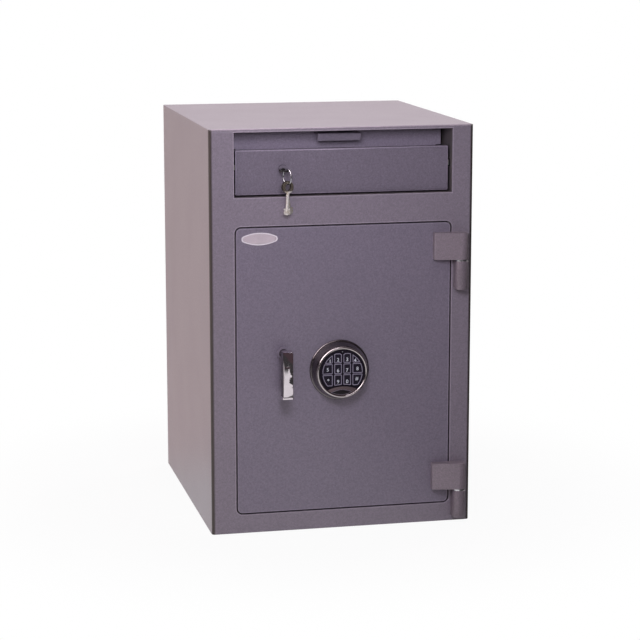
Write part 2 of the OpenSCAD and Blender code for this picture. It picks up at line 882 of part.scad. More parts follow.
module anti_fishing_baffle() {
    teeth = floor(open_w / tooth_pitch);
    pitch = open_w / teeth;
    color("#5a5561") front_slab(housing_back_y - housing_t, housing_back_y) polygon(concat(
        [[open_x0, case_h - wall_t], [open_x0, baffle_low_z + tooth_h]],
        [for (i = [0 : teeth - 1], k = [0.5, 1])
            [open_x0 + (i + k) * pitch, baffle_low_z + (k == 1 ? tooth_h : 0)]],
        [[open_x1, case_h - wall_t]]
    ));
}

// Drawer

module drawer_front() {
    fold = panel_t;
    color("#665f6d") difference() {
        side_slab(drawer_x0, drawer_x1) union() {
            rect(panel_y, panel_back_y, drawer_z0 + fold, drawer_z1 - fold);
            rect(panel_back_y, panel_y + flange_d, drawer_z1 - fold, drawer_z1);
            rect(panel_y + flange_d - fold, panel_y + flange_d, ledge_z, drawer_z1 - fold + 1);
            rect(panel_back_y, panel_back_y + 11, drawer_z0, drawer_z0 + fold);
            intersection() {
                rect(panel_y, panel_back_y, drawer_z0, drawer_z1);
                for (z = [drawer_z0 + fold, drawer_z1 - fold])
                    translate([panel_back_y, z]) circle(r = fold);
            }
        }
        rod_y(key_x, key_z, panel_y - 1, panel_back_y + 1, plug_r + run_gap);
    }
}

module drawer_riser() {
    color("#5f5966") {
        front_slab(riser_y, riser_back_y) union() {
            rect(drawer_x0, drawer_x1, drawer_z1 - panel_t + 0.5, riser_top_z);
            rect(tray_x0 + tray_t, tray_x1 - tray_t, tray_z0, drawer_z1);
        }
        block(tray_x0 + tray_t, tray_x1 - tray_t, panel_back_y, riser_y + 1, ledge_z - ledge_t, ledge_z);
    }
}

module finger_pull() {
    pull_y = front_y + pull_recess;
    pull_z1 = drawer_open_z1 - pull_drop;
    pull_z0 = pull_z1 - pull_h;
    mid = (drawer_x0 + drawer_x1) / 2 - 3;
    color("#645d6a") side_slab(mid - pull_w / 2, mid + pull_w / 2) union() {
        rect(pull_y + pull_t, riser_y, pull_z1 - pull_t, pull_z1);
        rect(pull_y, pull_y + pull_t, pull_z0, pull_z1 - pull_t);
        intersection() {
            rect(pull_y, pull_y + pull_t, pull_z1 - pull_t, pull_z1);
            translate([pull_y + pull_t, pull_z1 - pull_t]) circle(r = pull_t);
        }
    }
}

module drawer_tray() {
    color("#6b6571") {
        for (x = [tray_x0, tray_x1 - tray_t]) difference() {
            side_slab(x, x + tray_t) union() {
                polygon([
                    [panel_back_y, tray_z0], [tray_back_y, tray_z0], [tray_back_y, tray_top_z],
                    [riser_back_y, tray_top_z], [riser_back_y, ledge_z], [panel_back_y, ledge_z]
                ]);
                rect(pivot_y - 7, pivot_y + 7, pivot_z, tray_z0 + 1);
                translate([pivot_y, pivot_z]) circle(r = 7);
            }
            rod_x(x - 1, x + tray_t + 1, pivot_y, pivot_z, floor_pin_r + run_gap);
        }
        block(tray_x0 + tray_t, tray_x1 - tray_t, tray_back_y - tray_t, tray_back_y, tray_z0, tray_top_z);
    }
}

module drawer_rails() {
    rail_h = channel_h - 2 * channel_t - 2 * seat_gap;
    color("silver") for (s = [-1, 1]) {
        wall = s < 0 ? open_x0 + channel_t + seat_gap : open_x1 - channel_t - seat_gap;
        side = s < 0 ? tray_x0 : tray_x1;
        block(min(wall, side), max(wall, side), panel_back_y, tray_back_y,
              runner_z - rail_h / 2, runner_z + rail_h / 2);
    }
}

// Modelled level, then tipped about its pin
module tipping_floor() {
    hinge_spans = [[tray_x0 + 6, tray_x0 + 60], [-30, 30], [tray_x1 - 60, tray_x1 - 6]];
    color("#7a7480") translate([0, pivot_y, pivot_z]) rotate([-tip_angle, 0, 0]) difference() {
        union() {
            block(tray_x0, tray_x1, 9, floor_len, plate_low, plate_low + plate_t);
            for (span = hinge_spans) {
                rod_x(span[0], span[1], 0, 0, knuckle_out_r);
                block(span[0], span[1], 0, 10, plate_low, plate_low + plate_t);
            }
            for (s = [-1, 1]) {
                side = s < 0 ? tray_x0 : tray_x1;
                far = side + s * (tray_side_gap - 4);
                near = far - s * roller_w;
                lug = side - s * 4;
                rod_x(min(far, near), max(far, near), roller_len, 0, roller_r);
                rod_x(min(near + s, lug), max(near + s, lug), roller_len, 0, floor_pin_r);
                block(min(side, lug), max(side, lug), roller_len - 4, floor_len, -4, plate_low + 1);
            }
        }
        for (span = hinge_spans)
            rod_x(span[0] - 1, span[1] + 1, 0, 0, floor_pin_r + run_gap);
    }
}

module floor_pin() {
    color("silver") rod_x(tray_x0 - 1.5, tray_x1 + 1.5, pivot_y, pivot_z, floor_pin_r);
}

// Drawer lock

module drawer_lock_case() {
    x0 = key_x - lock_half_w;
    x1 = key_x + lock_half_w;
    z0 = key_z - lock_drop;
    z1 = ledge_z - ledge_t;
    color("#8f8a94") difference() {
        block(x0, x1, panel_back_y, case_y1, z0, z1);
        block(x0 + case_t, x1 - case_t, panel_back_y - 1, case_y1 - case_t, z0 + case_t, z1 - case_t);
        block(drawer_bolt_x - drawer_bolt_w / 2 - seat_gap, drawer_bolt_x + drawer_bolt_w / 2 + seat_gap,
              drawer_bolt_y0 - seat_gap, drawer_bolt_y1 + seat_gap, z0 - 1, z0 + case_t + 1);
    }
}

module lock_plug() {
    pin_x = key_x + lock_crank_r * cos(45);
    pin_z = key_z + lock_crank_r * sin(45);
    color("#b9b7bd") difference() {
        union() {
            rod_y(key_x, key_z, plug_y0, disc_y1 - disc_t, plug_r);
            rod_y(key_x, key_z, disc_y1 - disc_t, disc_y1, disc_r);
            rod_y(pin_x, pin_z, disc_y1, drawer_bolt_y1 + 0.7, lock_pin_r);
        }
        rod_y(key_x, key_z, plug_y0 - 1, plug_y1, key_shank_r + seat_gap);
        block(key_x - 7, key_x + 7, plug_y0 - 1, plug_y1, key_z - key_t / 2 - 0.2, key_z + key_t / 2 + 0.2);
    }
}

module drawer_bolt() {
    pin_z = key_z + lock_crank_r * sin(45);
    slot_r = lock_pin_r + lock_pin_slack;
    color("#c9c7cc") front_slab(drawer_bolt_y0, drawer_bolt_y1) difference() {
        rect(drawer_bolt_x - drawer_bolt_w / 2, drawer_bolt_x + drawer_bolt_w / 2, drawer_bolt_z0, pin_z + 8);
        slot(key_x + lock_crank_r * cos(45) - 0.5, key_x + lock_crank_r + 0.5, pin_z, slot_r);
    }
}

// Key lying flat with its bow at the origin and its blade along +Y
module flat_key() {
    difference() {
        union() {
            translate([0, 0, -key_t / 2]) cylinder(r = bow_r, h = key_t);
            rod_y(0, 0, bow_r - 1, bow_r + shank_len, key_shank_r);
            rod_y(0, 0, bow_r + 2, bow_r + 4.5, key_shank_r + 0.6);
            translate([0, 0, -key_t / 2 + 0.1]) linear_extrude(key_t - 0.2) polygon([
                [-6.3, bow_r + shank_len - 12], [-6.3, bow_r + shank_len - 9],
                [-4.8, bow_r + shank_len - 9], [-4.8, bow_r + shank_len - 6.5],
                [-6.3, bow_r + shank_len - 6.5], [-6.3, bow_r + shank_len - 4],
                [-5.3, bow_r + shank_len - 4], [-5.3, bow_r + shank_len - 1],
                [5.3, bow_r + shank_len - 1], [5.3, bow_r + shank_len - 4],
                [6.3, bow_r + shank_len - 4], [6.3, bow_r + shank_len - 6.5],
                [4.8, bow_r + shank_len - 6.5], [4.8, bow_r + shank_len - 9],
                [6.3, bow_r + shank_len - 9], [6.3, bow_r + shank_len - 12]
            ]);
        }
        translate([0, 0, -key_t]) cylinder(r = bow_hole_r, h = 2 * key_t);
    }
}

module drawer_key() {
    color("#b5a68a") translate([key_x, bow_y, key_z]) flat_key();
}

module key_ring() {
    color("#c9c9ce") translate(ring_pos) rotate([90, 0, -ring_turn])
        rotate_extrude($fn = 72) translate([ring_mean_r, 0]) circle(r = ring_wire_r, $fn = 16);
}

// A key hanging on the ring's lowest point, moved along the wire and leaned about it
module hanging_key(along, lean) {
    drop = bow_hole_r - ring_wire_r - spare_slack;
    rise = ring_mean_r - sqrt(pow(ring_mean_r, 2) - pow(along, 2));
    translate(wire_pos + along * ring_dir + [0, 0, rise]) rotate([0, 0, -ring_turn]) rotate([lean, 0, 0])
        translate([0, 0, -drop]) rotate([0, 0, 90]) rotate([-90, 0, 0]) flat_key();
}

module spare_key_1() {
    color("#b5a68a") hanging_key(spare_side, spare_leans[0]);
}

module spare_key_2() {
    color("#c2b69c") hanging_key(-spare_side, spare_leans[1]);
}

left_wall();
right_wall();
top_sheet();
back_plate();
floor_plate();
front_rails();
door_jamb();
hinge_posts();
hinge_pins();
hinge_washers();
housing_sides();
housing_shelf();
runner_channels();
tipping_ramps();
anti_fishing_baffle();
door_plate();
bolt_box();
door_back_cover();
cover_screws();
hinge_leaves();
dog_bolts();
bolt_bushes();
guide_posts();
lock_case();
lever_handle();
handle_spindle();
bolt_carriage();
locking_bolts();
lock_bolt();
keypad_housing();
keypad_ring();
key_field();
oval_boss();
door_oval();
pad_key(0);  // key_1
pad_key(1);  // key_2
pad_key(2);  // key_3
pad_key(3);  // key_4
pad_key(4);  // key_5
pad_key(5);  // key_6
pad_key(6);  // key_7
pad_key(7);  // key_8
pad_key(9);  // key_9
pad_key(10);  // key_0
pad_key(8);  // key_star
pad_key(11);  // key_hash
drawer_front();
drawer_riser();
finger_pull();
drawer_tray();
drawer_rails();
tipping_floor();
floor_pin();
drawer_lock_case();
lock_plug();
drawer_bolt();
drawer_key();
key_ring();
spare_key_1();
spare_key_2();
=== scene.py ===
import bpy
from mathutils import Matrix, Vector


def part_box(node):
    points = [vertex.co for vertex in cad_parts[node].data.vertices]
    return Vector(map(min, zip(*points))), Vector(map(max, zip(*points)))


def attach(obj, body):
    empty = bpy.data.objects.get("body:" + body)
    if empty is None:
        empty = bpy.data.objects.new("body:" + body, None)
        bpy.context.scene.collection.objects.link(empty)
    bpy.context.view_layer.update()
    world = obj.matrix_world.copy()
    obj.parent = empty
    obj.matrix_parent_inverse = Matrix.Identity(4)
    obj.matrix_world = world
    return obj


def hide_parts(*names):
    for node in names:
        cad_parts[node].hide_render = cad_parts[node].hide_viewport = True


bl_info = {
    "name": "Deposit safe finishes",
    "version": (1, 0, 0),
    "blender": (4, 5, 0),
    "location": "View3D > Sidebar > Safe",
    "description": "Dresses the packed deposit safe: paint, metals, keypad legends, small trim and the studio",
    "category": "Object",
}

import math

import bmesh
import bpy
import numpy as np
from mathutils import Vector

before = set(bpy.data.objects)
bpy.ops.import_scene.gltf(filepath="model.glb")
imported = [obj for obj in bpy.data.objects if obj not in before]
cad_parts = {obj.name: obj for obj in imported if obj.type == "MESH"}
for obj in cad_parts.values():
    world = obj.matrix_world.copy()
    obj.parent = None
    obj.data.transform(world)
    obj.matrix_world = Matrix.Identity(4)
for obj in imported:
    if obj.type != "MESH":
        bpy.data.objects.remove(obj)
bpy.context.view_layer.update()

# Lengths are in metres, areas in square metres

FLAT_AREA = 0.0003
JOIN_GAP = 1e-6
BEVEL_ANGLE = math.radians(38.0)
BEVEL_WIDTHS = {
    "hinge_leaves": 0.00014, "hinge_posts": 0.0006, "drawer_front": 0.00148, "drawer_riser": 0.0007,
    "finger_pull": 0.0007, "lever_handle": 0.0010, "oval_boss": 0.0004, "door_oval": 0.00024,
}
FOLD_R = 0.0065
DOOR_GAP, DOOR_CORNER = 0.003, 0.009
RISER_GAP, RAIL_CORNER = 0.0024, 0.0004
DRAWER_ROLL_R = 0.0016
BOW_SHARE = 0.3


# Shader values

class Value:
    """A socket's output that works in Python expressions: each operator adds one Math node."""

    def __init__(self, shade, socket):
        self.shade, self.socket = shade, socket

    def _math(self, operation, *others, clamp=False):
        return self.shade.add("ShaderNodeMath", {"operation": operation, "use_clamp": clamp}, [self, *others])

    def __add__(self, o): return self._math("ADD", o)
    def __radd__(self, o): return self._math("ADD", o)
    def __sub__(self, o): return self._math("SUBTRACT", o)
    def __rsub__(self, o): return self.shade.add("ShaderNodeMath", {"operation": "SUBTRACT"}, [o, self])
    def __mul__(self, o): return self._math("MULTIPLY", o)
    def __rmul__(self, o): return self._math("MULTIPLY", o)
    def above(self, o): return self._math("GREATER_THAN", o)
    def most(self, o): return self._math("MAXIMUM", o)
    def least(self, o): return self._math("MINIMUM", o)
    def size(self): return self._math("ABSOLUTE")
    def clamped(self): return self._math("ADD", 0.0, clamp=True)

    def span(self, lo, hi):
        """0 at lo, 1 at hi, eased between."""
        return self.shade.add("ShaderNodeMapRange", {"interpolation_type": "SMOOTHSTEP"}, [self, lo, hi, 0.0, 1.0])


class Shade:
    """Builds the nodes of one material or world, whose patterns lie on the given texture coordinates."""

    def __init__(self, data, coordinates="Object"):
        data.use_nodes = True
        self.data, self.tree = data, data.node_tree
        self.tree.nodes.clear()
        self.place = self.add("ShaderNodeTexCoord", out=coordinates)

    def add(self, kind, settings=None, values=(), out=0, **named):
        """One node from its type, its settings, its inputs in order, by number or by name, and its output."""
        node = self.tree.nodes.new(kind)
        for key, value in (settings or {}).items():
            setattr(node, key, value)
        inputs = dict(values if isinstance(values, dict) else enumerate(values))
        inputs.update((key.replace("_", " "), value) for key, value in named.items())
        for key, value in inputs.items():
            self.give(node.inputs[key], value)
        return Value(self, node.outputs[out]) if node.outputs else None

    def give(self, socket, value):
        """Links a Value to a socket, or sets a number or colour on it. None leaves it as it is."""
        if isinstance(value, Value):
            self.tree.links.new(value.socket, socket)
        elif value is not None:
            if hasattr(value, "__len__") and len(value) == 3 and socket.type == "RGBA":
                value = (*value, 1.0)
            socket.default_value = value

    def noise(self, scale, detail=2.0, rough=0.5, where=None):
        return self.add("ShaderNodeTexNoise", Vector=where or self.place, Scale=scale, Detail=detail,
                        Roughness=rough)

    def cells(self, scale, out="Distance"):
        return self.add("ShaderNodeTexVoronoi", {"feature": "F1"}, Vector=self.place, Scale=scale, out=out)

    def stretched(self, x, y, z):
        """The coordinates scaled apart on each axis."""
        return self.add("ShaderNodeVectorMath", {"operation": "MULTIPLY"}, [self.place, (x, y, z)])

    def blend(self, factor, a, b, how="MIX"):
        return self.add("ShaderNodeMix", {"data_type": "RGBA", "blend_type": how, "clamp_factor": True},
                        {0: factor, 6: a, 7: b}, out=2)

    def axes(self):
        return [self.add("ShaderNodeSeparateXYZ", {}, [self.place], out=i) for i in range(3)]

    def bump(self, height, depth, strength):
        return self.add("ShaderNodeBump", Height=height, Distance=depth, Strength=strength)

    def ray(self, kind):
        """1 on rays of the kind, 0 on others."""
        return self.add("ShaderNodeLightPath", out=f"Is {kind} Ray")

    def mirrored(self):
        """1 on rays that leave a glossy or a clear surface."""
        return self.ray("Glossy").most(self.ray("Transmission"))

    def end(self, surface, kind="ShaderNodeOutputMaterial"):
        self.add(kind, {}, [surface])
        return self.data

    def finish(self, colour, rough, metal, normal, **fixed):
        return self.end(self.add("ShaderNodeBsdfPrincipled", Base_Color=colour, Roughness=rough, Metallic=metal,
                                 Normal=normal, **fixed))


def new_shade(name):
    return Shade(bpy.data.materials.new(name))


def scaled(colour, k):
    return tuple(c * k for c in colour)


# Materials

def hammered_paint(name, colour, fleck, fold=None):
    """Stoved hammer-effect paint: pigment cells, bright flecks and a fine dimpled surface. On a case folded at
    its upright front edges, fold gives the half width, the front and the fold's radius, and the fold there
    gets a dark painted shade, standing for the shade and dark reflection on the rounded corner."""
    s = new_shade(name)
    cells = s.noise(520.0, detail=3.0, rough=0.62)
    clouds = s.noise(9.0)
    wide = s.noise(300.0, detail=1.0)
    dimple = s.cells(430.0)
    light = (cells - 0.5) * 1.5 + (wide - 0.5) * 1.1 + 0.5
    base = s.blend(light.clamped(), scaled(colour, 0.80), scaled(colour, 1.20))
    base = s.blend((cells - 0.62).span(0.0, 0.10) * fleck, base, scaled(colour, 1.75))
    base = s.blend(clouds.span(0.35, 0.75) * 0.16, base, scaled(colour, 0.86))
    if fold:
        half_w, front, r = fold
        # Painted shade: a dark band on the rounded front fold, standing for the corner's shade and dark reflection
        fold_shade_colour = (0.050, 0.039, 0.034)
        x, y, _ = s.axes()
        fold_shade_mask = x.size().span(half_w - r * 1.15, half_w - r * 0.55) * (1.0 - y.span(front + r * 0.5, front + r))
        base = s.blend(fold_shade_mask, base, fold_shade_colour)
    rough = 0.40 + (cells - 0.5) * 0.22 + (clouds - 0.5) * 0.06
    height = dimple * 0.6 + cells * 0.7 + wide * 0.3
    return s.finish(base, rough, 0.15, s.bump(height, depth=0.00022, strength=0.8),
                    Coat_Weight=0.2, Coat_Roughness=0.22)


def matt_primer(name, colour):
    """Thin primer on pressed steel, with faint rolling marks."""
    s = new_shade(name)
    marks = s.noise(60.0, detail=4.0, rough=0.6, where=s.stretched(1.0, 1.0, 0.12))
    cells = s.noise(800.0)
    base = s.blend(marks.span(0.3, 0.7), scaled(colour, 0.86), scaled(colour, 1.12))
    rough = 0.52 + (cells - 0.5) * 0.2
    return s.finish(base, rough, 0.1, s.bump(cells + marks * 0.5, depth=0.00012, strength=0.6))


def plating(s, colour):
    """The wiping marks and the clouded colour that bright platings share."""
    wipes = s.noise(220.0, detail=3.0, rough=0.6, where=s.stretched(1.0, 1.0, 0.25))
    return wipes, s.blend(s.noise(35.0).span(0.3, 0.7), colour, scaled(colour, 0.93))


def polished(name, colour, rough, smear=0.08):
    """Bright plating with faint wiping marks."""
    s = new_shade(name)
    wipes, base = plating(s, colour)
    return s.finish(base, rough + (wipes - 0.5).size() * smear, 1.0, s.bump(wipes, depth=0.00002, strength=0.35))


def lever_chrome(name, colour, paint, middle, half_w, lip_z, back_y, foot_y):
    """Chrome whose flanks and neck get a dark painted shade, standing for their shadow and dark reflection, and
    whose hub foot takes the door's paint. The flanks lie half_w to each side of the middle above lip_z, the neck
    behind back_y and the foot behind foot_y."""
    # Painted shade: a dark tone for the lever's flanks and neck, standing for their shadow and the dark they
    # reflect
    flank_and_neck_shade = (0.090, 0.068, 0.066)
    s = new_shade(name)
    x, y, z = s.axes()
    wipes, base = plating(s, colour)
    # The flanks and the neck get the painted shade
    flank_shade_mask = (x - middle).size().span(half_w - 0.0007, half_w - 0.0002) * z.above(lip_z)
    base = s.blend(flank_shade_mask.most(y.span(back_y - 0.002, back_y)), base, flank_and_neck_shade)
    foot = y.above(foot_y)
    base = s.blend(foot, base, paint)
    rough = 0.07 + (wipes - 0.5).size() * 0.06 + foot * 0.33
    return s.finish(base, rough, 1.0 - foot * 0.85, s.bump(wipes, depth=0.00001, strength=0.35))


def turned_steel(name, colour, along, pitch=900.0):
    """Turned and ground bar, with fine rings across the axis named by along."""
    s = new_shade(name)
    stretch = [8.0, 8.0, 8.0]
    stretch["xyz".index(along)] = pitch
    rings = s.noise(1.0, detail=3.0, rough=0.6, where=s.stretched(*stretch))
    oil = s.noise(40.0, detail=3.0, rough=0.6)
    base = s.blend(oil.span(0.35, 0.7), colour, scaled(colour, 0.78))
    return s.finish(base, 0.24 + (rings - 0.5).size() * 0.3, 1.0, s.bump(rings, depth=0.00003, strength=0.5))


def zinc_plate(name, colour):
    """Zinc-plated pressings: soft spangle and a yellow-blue cast that wanders."""
    s = new_shade(name)
    patch = s.noise(24.0, detail=3.0, rough=0.55)
    cast = s.blend(patch.span(0.3, 0.7), colour, (colour[0] * 1.04, colour[1], colour[2] * 0.88))
    base = s.blend(0.10, cast, s.cells(210.0, out="Color"), "OVERLAY")
    grain = s.noise(700.0, rough=0.6)
    rough = 0.34 + (patch - 0.5) * 0.25 + (grain - 0.5) * 0.12
    return s.finish(base, rough, 1.0, s.bump(grain, depth=0.00004, strength=0.5))


def cast_metal(name, colour, metal=1.0):
    """Sand-fine cast or sintered surface with small pores."""
    s = new_shade(name)
    grain = s.noise(950.0, detail=3.0, rough=0.6)
    pores = s.noise(380.0).span(0.60, 0.72)
    base = s.blend(pores * 0.5, s.blend(grain, scaled(colour, 0.85), scaled(colour, 1.12)), scaled(colour, 0.5))
    return s.finish(base, 0.42 + grain * 0.18, metal, s.bump(grain - pores * 0.6, depth=0.00006, strength=0.7))


def moulded(name, colour, rough, metal=0.0, coat=0.0, gloss=0.5):
    """Moulded plastic with a faint eggshell grain."""
    s = new_shade(name)
    shell = s.noise(1300.0)
    base = s.blend(s.noise(40.0), scaled(colour, 0.85), scaled(colour, 1.2))
    return s.finish(base, rough + (shell - 0.5) * 0.12, metal, s.bump(shell, depth=0.00002, strength=0.5),
                    Coat_Weight=coat, Coat_Roughness=0.08, Specular_IOR_Level=gloss)


def key_plating(name, colour, worn, metal=0.75, bow_z=10.0):
    """Nickel plating with rub marks, thin enough at the high spots for the brass to tint it, and darker on the
    bow, above bow_z."""
    s = new_shade(name)
    rub = s.noise(300.0, detail=4.0, rough=0.65, where=s.stretched(1.0, 1.0, 0.3))
    patch = s.noise(90.0, detail=3.0, rough=0.6)
    base = s.blend(patch.span(0.42, 0.68) * 0.8, colour, worn)
    base = s.blend(s.axes()[2].span(bow_z - 0.001, bow_z + 0.001), base, scaled(worn, 0.22))
    return s.finish(base, 0.25 + (rub - 0.5).size() * 0.3, metal, s.bump(rub, depth=0.00004, strength=0.6))


def printed(name, colour):
    """Screen-printed ink, a little uneven."""
    s = new_shade(name)
    ink = s.noise(1500.0)
    base = s.blend(ink, scaled(colour, 0.85), scaled(colour, 1.1))
    return s.finish(base, 0.45, 0.0, s.bump(ink, depth=0.00001, strength=0.4))


# Surfaces

def surface(name, points, wrap_u=False, wrap_v=False, smooth=True):
    """A mesh from a grid of points, u down the rows and v along the columns, closed where wrapped."""
    points = np.asarray(points, float)
    nu, nv = points.shape[:2]
    u = np.arange(nu if wrap_u else nu - 1)
    v = np.arange(nv if wrap_v else nv - 1)
    a, b = np.meshgrid(u, v, indexing="ij")
    a2, b2 = (a + 1) % nu, (b + 1) % nv
    quads = np.stack([a * nv + b, a2 * nv + b, a2 * nv + b2, a * nv + b2], -1).reshape(-1, 4)
    mesh = bpy.data.meshes.new(name)
    mesh.from_pydata(points.reshape(-1, 3), [], quads)
    mesh.polygons.foreach_set("use_smooth", np.full(len(mesh.polygons), smooth))
    mesh.update()
    return mesh


def merged(mesh, gap=JOIN_GAP):
    """Closes the poles and seams by joining points that coincide, then turns the faces outwards."""
    bm = bmesh.new()
    bm.from_mesh(mesh)
    bmesh.ops.remove_doubles(bm, verts=bm.verts, dist=gap)
    bmesh.ops.dissolve_degenerate(bm, dist=gap, edges=bm.edges)
    bmesh.ops.recalc_face_normals(bm, faces=bm.faces)
    bm.to_mesh(mesh)
    bm.free()
    return mesh


def linked(name, data):
    obj = bpy.data.objects.new(name, data)
    bpy.context.scene.collection.objects.link(obj)
    return obj


def placed(name, mesh, material, body, stands_for=()):
    """A finished piece that rides on a body and may stand for CAD nodes."""
    obj = linked(name, mesh)
    mesh.materials.clear()
    mesh.materials.append(material)
    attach(obj, body)
    if stands_for:
        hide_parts(*stands_for)
    return obj


def softened(node, body, material, segments=3):
    """A joined copy of a CAD node whose sharp edges get a Bevel; it stands for the node. A node's shortest edges
    hold its Bevel down, on the lever and the boss to almost nothing."""
    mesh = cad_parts[node].data.copy()
    bm = bmesh.new()
    bm.from_mesh(mesh)
    bmesh.ops.remove_doubles(bm, verts=bm.verts, dist=JOIN_GAP)
    bmesh.ops.dissolve_limit(bm, angle_limit=math.radians(0.4), verts=bm.verts, edges=bm.edges)
    for face in bm.faces:
        face.smooth = face.calc_area() < FLAT_AREA
    bm.to_mesh(mesh)
    bm.free()
    bevel = placed(node + "_soft", mesh, material, body, (node,)).modifiers.new("edges", "BEVEL")
    bevel.width, bevel.segments, bevel.limit_method = BEVEL_WIDTHS[node], segments, "ANGLE"
    bevel.angle_limit, bevel.harden_normals = BEVEL_ANGLE, True


def rounded_loop(x0, x1, z0, z1, r, steps=10):
    """Closed path round a rectangle with corner arcs of radius r: its points and outward normals as (x, z)."""
    quarter = np.linspace(0.0, math.pi / 2, steps)
    turns = np.concatenate([quarter + k * math.pi / 2 for k in range(4)])
    middles = np.repeat([[x1 - r, z1 - r], [x0 + r, z1 - r], [x0 + r, z0 + r], [x1 - r, z0 + r]], steps, axis=0)
    normals = np.stack([np.cos(turns), np.sin(turns)], -1)
    return middles + r * normals, normals


def round_turn(steps):
    """Angles once round, the last one left out, as a row."""
    return np.linspace(0.0, 2 * math.pi, steps + 1)[:-1][None, :]


def edge_roll(name, path, side, y, r=0.0012, proud=0.0002):
    """Paint roll along a sheet's front edge: a circle of radius r carried along the path, its middle
    set back from the edge and the face by r - proud, so that only the rounded corner shows."""
    points, normals = path
    turn = round_turn(16)[0]
    out = (-(r - proud) + r * np.cos(turn))[None, :, None] * side * normals[:, None, :] + points[:, None, :]
    depth = np.broadcast_to(y + (r - proud) - r * np.sin(turn), out.shape[:2])
    grid = np.stack([out[..., 0], depth, out[..., 1]], -1)
    return merged(surface(name, grid, wrap_u=True, wrap_v=True))


def thickened(obj, thickness=0.0003):
    """Gives an open crown its back, towards the inside, so that it is a closed body."""
    body = obj.modifiers.new("thickness", "SOLIDIFY")
    body.thickness, body.offset = thickness, -1.0


def coat(material, *nodes):
    """Gives CAD nodes a material on every slot."""
    for n in nodes:
        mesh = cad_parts[n].data
        mesh.materials.clear()
        mesh.materials.append(material)


# Sizes and colours that a user would change

COLOUR = {"subtype": "COLOR", "size": 3, "min": 0.0, "max": 1.0}


class SafePaint(bpy.types.PropertyGroup):
    case_colour: bpy.props.FloatVectorProperty(
        name="Case", description="Paint of the case", default=(0.266, 0.226, 0.266), **COLOUR)
    door_colour: bpy.props.FloatVectorProperty(
        name="Door", description="Paint of the door", default=(0.232, 0.199, 0.249), **COLOUR)
    drawer_colour: bpy.props.FloatVectorProperty(
        name="Drawer", description="Paint of the deposit drawer", default=(0.207, 0.177, 0.220), **COLOUR)
    hinge_colour: bpy.props.FloatVectorProperty(
        name="Hinges", description="Paint of the hinges", default=(0.262, 0.213, 0.240), **COLOUR)
    inner_colour: bpy.props.FloatVectorProperty(
        name="Inside", description="Primer on the inner parts", default=(0.125, 0.108, 0.108), **COLOUR)
    fleck: bpy.props.FloatProperty(
        name="Flecks", description="Strength of the bright flecks", default=0.22, min=0.0, max=1.0)


class SafeMetals(bpy.types.PropertyGroup):
    chrome: bpy.props.FloatVectorProperty(
        name="Chrome", description="Plating of the lever", default=(0.74, 0.67, 0.72), **COLOUR)
    steel: bpy.props.FloatVectorProperty(
        name="Steel", description="Bolts and pins", default=(0.60, 0.60, 0.62), **COLOUR)
    zinc: bpy.props.FloatVectorProperty(
        name="Zinc", description="Plated pressings", default=(0.52, 0.53, 0.55), **COLOUR)
    key_metal: bpy.props.FloatVectorProperty(
        name="Keys", description="Plating of the keys", default=(0.88, 0.83, 0.75), **COLOUR)


class SafeKeypad(bpy.types.PropertyGroup):
    line_width: bpy.props.FloatProperty(
        name="Outline", description="Width of the key outlines", default=0.0013, min=0.0004, max=0.002,
        unit="LENGTH")
    digit_height: bpy.props.FloatProperty(
        name="Digits", description="Height of the digits", default=0.0066, min=0.004, max=0.012, unit="LENGTH")
    ink: bpy.props.FloatVectorProperty(
        name="Ink", description="Colour of the outlines", default=(0.33, 0.30, 0.38), **COLOUR)
    digit_ink: bpy.props.FloatVectorProperty(
        name="Digit ink", description="Colour of the digits", default=(0.72, 0.74, 0.78), **COLOUR)
    lamp: bpy.props.FloatVectorProperty(
        name="Lamp", description="Colour of the signal lamp", default=(0.30, 0.32, 0.34), **COLOUR)


class SafeStudio(bpy.types.PropertyGroup):
    level: bpy.props.FloatProperty(
        name="Light", description="Strength of all the lamps", default=1.0, min=0.1, max=3.0)
    ambient: bpy.props.FloatProperty(
        name="Ambient", description="Strength of the even light", default=0.10, min=0.0, max=2.0)


# Operators

